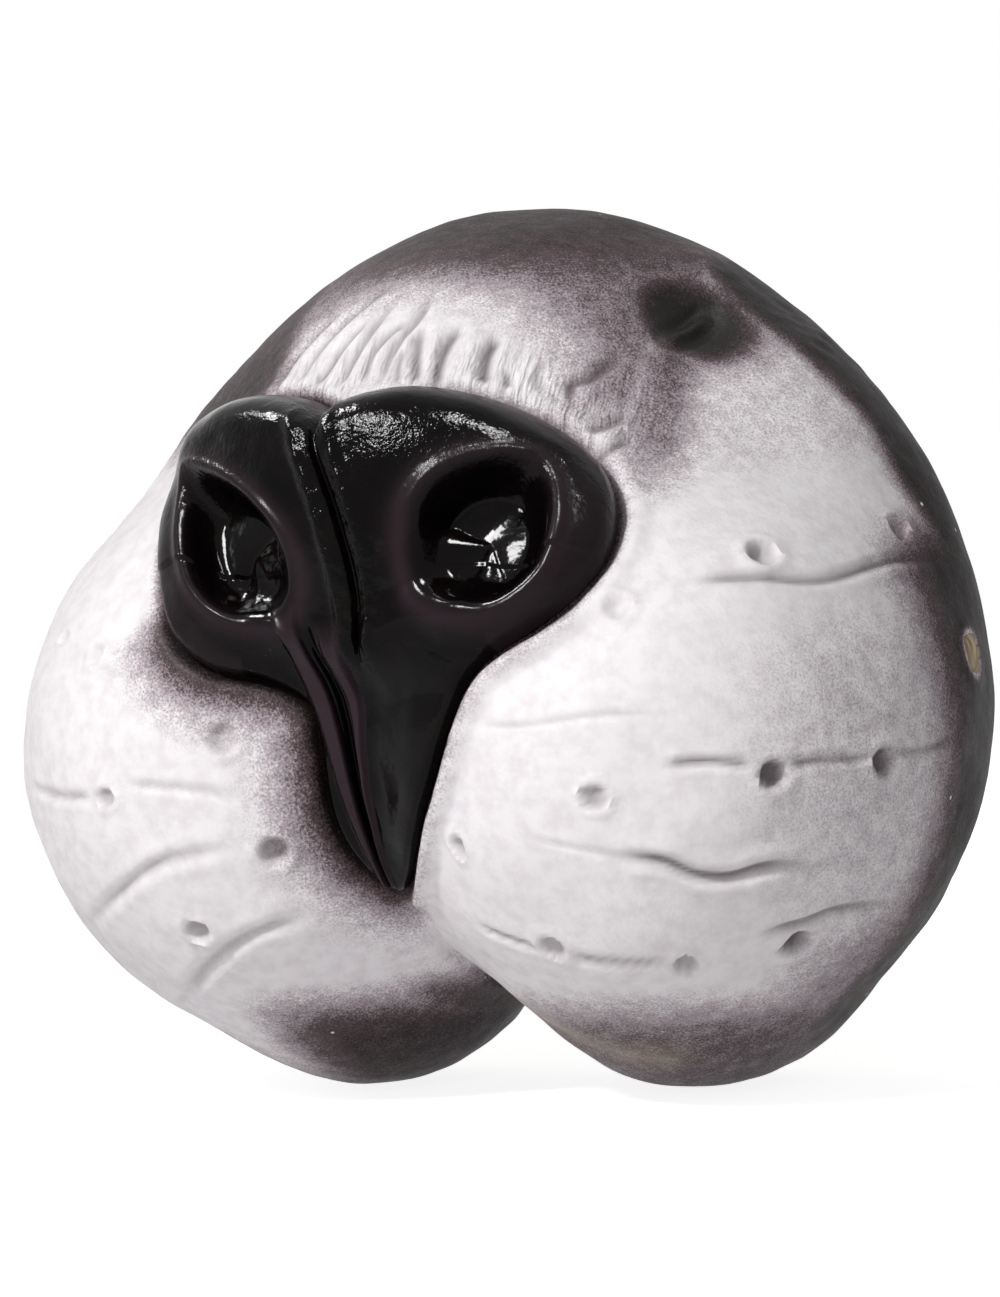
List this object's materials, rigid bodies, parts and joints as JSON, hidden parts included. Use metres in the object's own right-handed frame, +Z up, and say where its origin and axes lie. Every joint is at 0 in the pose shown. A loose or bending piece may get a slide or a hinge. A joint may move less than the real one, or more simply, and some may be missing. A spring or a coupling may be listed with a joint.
{
  "type": "animal snout mask",
  "caption": "Cast latex animal snout half mask: two-lobed white muzzle with whisker pits, gloss black nose with deep nostrils, open back and strap holes.",
  "frame": {"origin": "centre of the face opening, in the plane of the cut rim", "axes": "+Y out of the open back towards the wearer, -Y along the nose, +Z up as worn, +X to the right as seen from the front"},
  "size_m": [0.141, 0.0801, 0.1263],
  "materials": {
    "latex_skin": "matt cast latex with speckled airbrushing",
    "nose_gloss": "high gloss varnish over black",
    "core_foam": "open foam",
    "patch_cloth": "woven cloth soaked in latex"
  },
  "bodies": {
    "root": {"muzzle_shell": "latex_skin", "nose_pad": "nose_gloss", "nose_core": "core_foam", "strap_patch_left": "patch_cloth", "strap_patch_right": "patch_cloth"}
  },
  "joints": []
}
